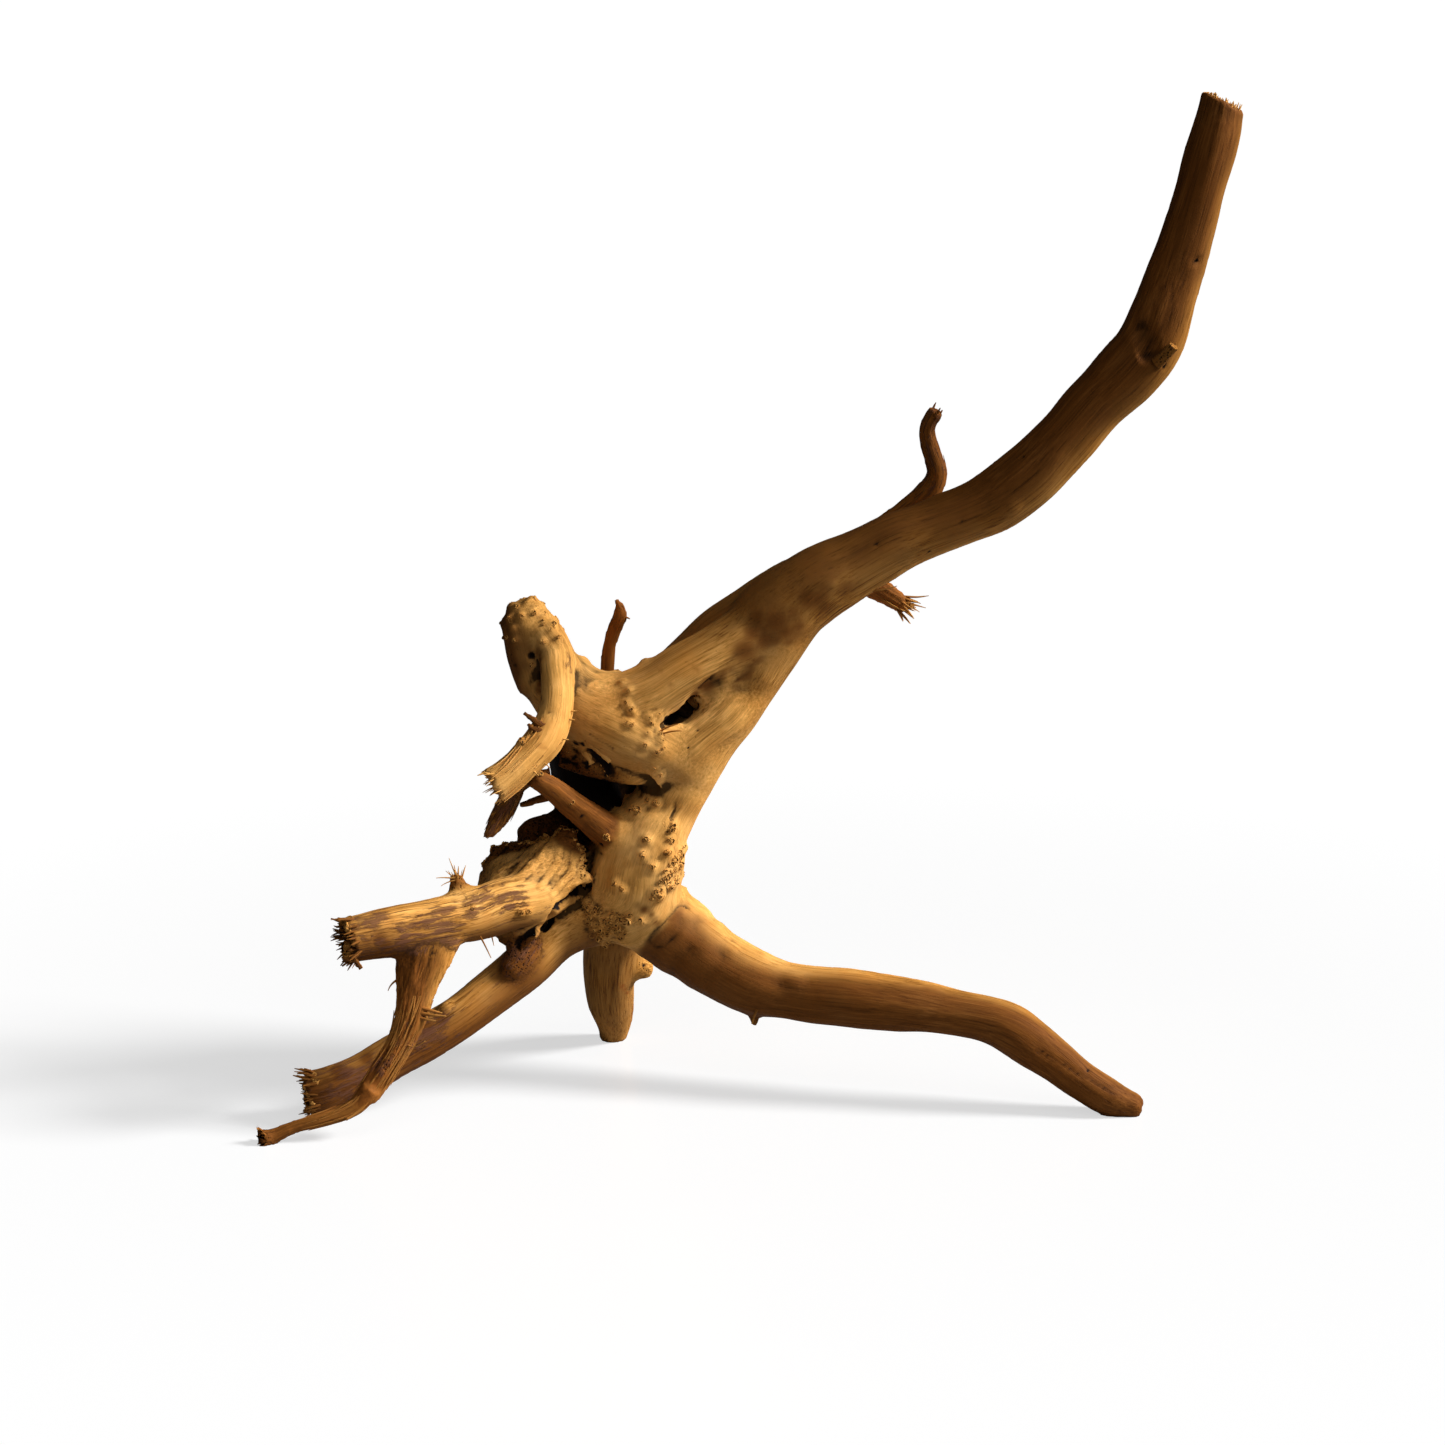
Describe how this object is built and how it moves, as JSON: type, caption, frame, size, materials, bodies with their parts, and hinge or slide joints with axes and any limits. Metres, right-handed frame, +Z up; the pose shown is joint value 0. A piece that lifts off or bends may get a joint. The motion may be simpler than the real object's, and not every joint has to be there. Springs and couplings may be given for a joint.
{
  "type": "dry root",
  "caption": "Washed and bleached dead root: a long leader, a warty crown with a cleft, two spreading roots, a torn side root and a stub, standing on three low points.",
  "frame": {"origin": "on the surface that the root stands on, under the middle of its bounding box", "axes": "+Z up towards the sawn end of the leader, +X towards the long right root, +Y towards the back"},
  "size_m": [0.3771, 0.1373, 0.3962],
  "materials": {
    "bleached_wood": "bare bleached root wood, matt, with brown stains, dark torn ends and pitted warts"
  },
  "bodies": {
    "root": {"dry_root": "bleached_wood"}
  },
  "joints": []
}
